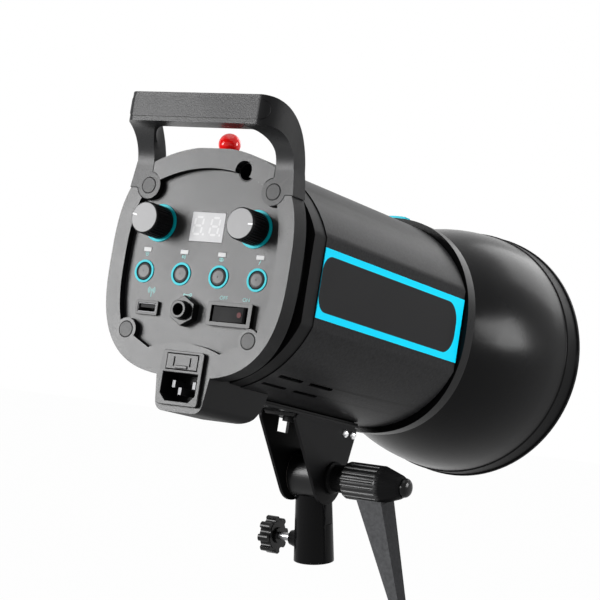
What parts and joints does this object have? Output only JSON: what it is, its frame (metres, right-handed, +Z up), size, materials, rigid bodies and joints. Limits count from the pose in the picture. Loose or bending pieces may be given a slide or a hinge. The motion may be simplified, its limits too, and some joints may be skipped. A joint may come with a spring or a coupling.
{
  "type": "monolight strobe",
  "caption": "Studio flash head with a bowl reflector, rear control panel and carrying handle, on a tilting bracket with a clamp lever and stand socket.",
  "frame": {"origin": "centre of the mouth of the stand socket", "axes": "+Z up along the stand, +X the way the light points, +Y to the operator's left"},
  "size_m": [0.3675, 0.1676, 0.3291],
  "materials": {
    "body_paint": "satin black powder coat",
    "black_metal": "satin black",
    "charcoal_plastic": "fine grain",
    "black_plastic": "fine grain",
    "grey_plastic": "fine grain",
    "cyan_trim": "satin",
    "white_lens": "gloss",
    "red_lens": "gloss",
    "bright_steel": "bright zinc",
    "brass_tip": "turned",
    "friction_fibre": "dull",
    "cast_metal": "black anodised",
    "plain_alu": "brushed",
    "spun_alu": "black outside, bright inside",
    "ceramic": "dull",
    "clear_glass": "clear",
    "lamp_glass": "frosted",
    "board": "solder resist",
    "cap_sleeve": "shrink sleeve"
  },
  "bodies": {
    "stand_mount": {"stand_socket": "cast_metal", "friction_washers": "friction_fibre"},
    "lock_shoe": {"clamp_pad": "brass_tip"},
    "lock": {"lock_screw": "bright_steel", "lock_knob": "black_plastic"},
    "lever": {"lever_hub": "black_plastic", "lever_arm": "grey_plastic", "lever_cap": "black_plastic"},
    "modelling_knob": {"modelling_knob": "black_plastic"},
    "power_knob": {"power_knob": "black_plastic"},
    "model_button": {"model_button": "grey_plastic"},
    "sound_button": {"sound_button": "grey_plastic"},
    "slave_button": {"slave_button": "grey_plastic"},
    "test_button": {"test_button": "grey_plastic"},
    "rocker": {"power_rocker": "black_plastic", "rocker_lamp": "red_lens"},
    "fuse_drawer": {"fuse_drawer": "black_plastic", "fuse": "clear_glass"},
    "release_button": {"release_button": "cyan_trim"},
    "reflector": {"reflector": "spun_alu"},
    "fan_rotor": {"fan_rotor": "black_plastic"},
    "head": {"tilt_bracket": "black_metal", "bracket_screws": "bright_steel", "pivot_bolt": "bright_steel", "mount_rail": "cast_metal", "body_tube": "body_paint", "side_labels": "cyan_trim", "rear_ring": "charcoal_plastic", "rear_housing": "charcoal_plastic", "control_panel": "charcoal_plastic", "handle": "charcoal_plastic", "handle_grip": "black_plastic", "screw_plugs": "charcoal_plastic", "housing_screws": "bright_steel", "sensor_dome": "red_lens", "umbrella_tube": "black_plastic", "display": "white_lens", "indicator_leds": "white_lens", "knob_rings": "cyan_trim", "button_rings": "cyan_trim", "usb_bezel": "black_plastic", "usb_shell": "bright_steel", "usb_tongue": "white_lens", "sync_jack": "black_plastic", "jack_nut": "black_plastic", "rocker_frame": "black_plastic", "mains_inlet": "black_plastic", "mains_pins": "bright_steel", "front_collar": "black_plastic", "mount_plate": "plain_alu", "lamp_base": "ceramic", "flash_tube": "clear_glass", "lamp_socket": "ceramic", "modelling_lamp": "lamp_glass", "chassis": "plain_alu", "power_board": "board", "capacitors": "cap_sleeve", "control_board": "board", "fan_frame": "black_plastic"}
  },
  "joints": [
    {"name": "tilt", "type": "hinge", "parent": "stand_mount", "child": "head", "pos_m": [0, 0, 0.0537], "axis": [0, 1, 0], "range_deg": [-86.6, 73.4]},
    {"name": "lever_turn", "type": "hinge", "parent": "head", "child": "lever", "pos_m": [0, -0.045, 0.0537], "axis": [0, 1, 0], "range_deg": [-60, 60]},
    {"name": "lock_advance", "type": "slide", "parent": "stand_mount", "child": "lock_shoe", "axis": [0, -1, 0], "range_m": [0, 0.00241]},
    {"name": "lock_turn", "type": "hinge", "parent": "lock_shoe", "child": "lock", "pos_m": [0, 0.03, 0.012], "axis": [0, -1, 0], "range_deg": [0, 1080]},
    {"name": "modelling_knob_turn", "type": "hinge", "parent": "head", "child": "modelling_knob", "pos_m": [-0.11032, 0.033, 0.21744], "axis": [0.9583, 0, -0.2857], "range_deg": [-90, 210]},
    {"name": "power_knob_turn", "type": "hinge", "parent": "head", "child": "power_knob", "pos_m": [-0.11032, -0.033, 0.21744], "axis": [0.9583, 0, -0.2857], "continuous": true},
    {"name": "model_button_press", "type": "slide", "parent": "head", "child": "model_button", "axis": [0.9583, 0, -0.2857], "range_m": [0, 0.001], "stiffness_N_per_m": 400},
    {"name": "sound_button_press", "type": "slide", "parent": "head", "child": "sound_button", "axis": [0.9583, 0, -0.2857], "range_m": [0, 0.001], "stiffness_N_per_m": 400},
    {"name": "slave_button_press", "type": "slide", "parent": "head", "child": "slave_button", "axis": [0.9583, 0, -0.2857], "range_m": [0, 0.001], "stiffness_N_per_m": 400},
    {"name": "test_button_press", "type": "slide", "parent": "head", "child": "test_button", "axis": [0.9583, 0, -0.2857], "range_m": [0, 0.001], "stiffness_N_per_m": 400},
    {"name": "rocker_rock", "type": "hinge", "parent": "head", "child": "rocker", "pos_m": [-0.12344, -0.0262, 0.16991], "axis": [0.2857, 0, 0.9583], "range_deg": [0, 12]},
    {"name": "fuse_drawer_pull", "type": "slide", "parent": "head", "child": "fuse_drawer", "axis": [-0.9583, 0, 0.2857], "range_m": [0, 0.012]},
    {"name": "reflector_twist", "type": "hinge", "parent": "head", "child": "reflector", "pos_m": [0.07729, 0, 0.13793], "axis": [0.9583, 0, -0.2857], "range_deg": [0, 45]},
    {"name": "release_button_pull", "type": "slide", "parent": "head", "child": "release_button", "axis": [-0.9583, 0, 0.2857], "range_m": [0, 0.003], "stiffness_N_per_m": 600},
    {"name": "fan_spin", "type": "hinge", "parent": "head", "child": "fan_rotor", "pos_m": [-0.0703, 0, 0.18193], "axis": [0.9583, 0, -0.2857], "continuous": true}
  ],
  "couplings": [
    {"joint": "lock_advance", "follows": "lock_turn", "m_per_rad": 0.00012732}
  ]
}
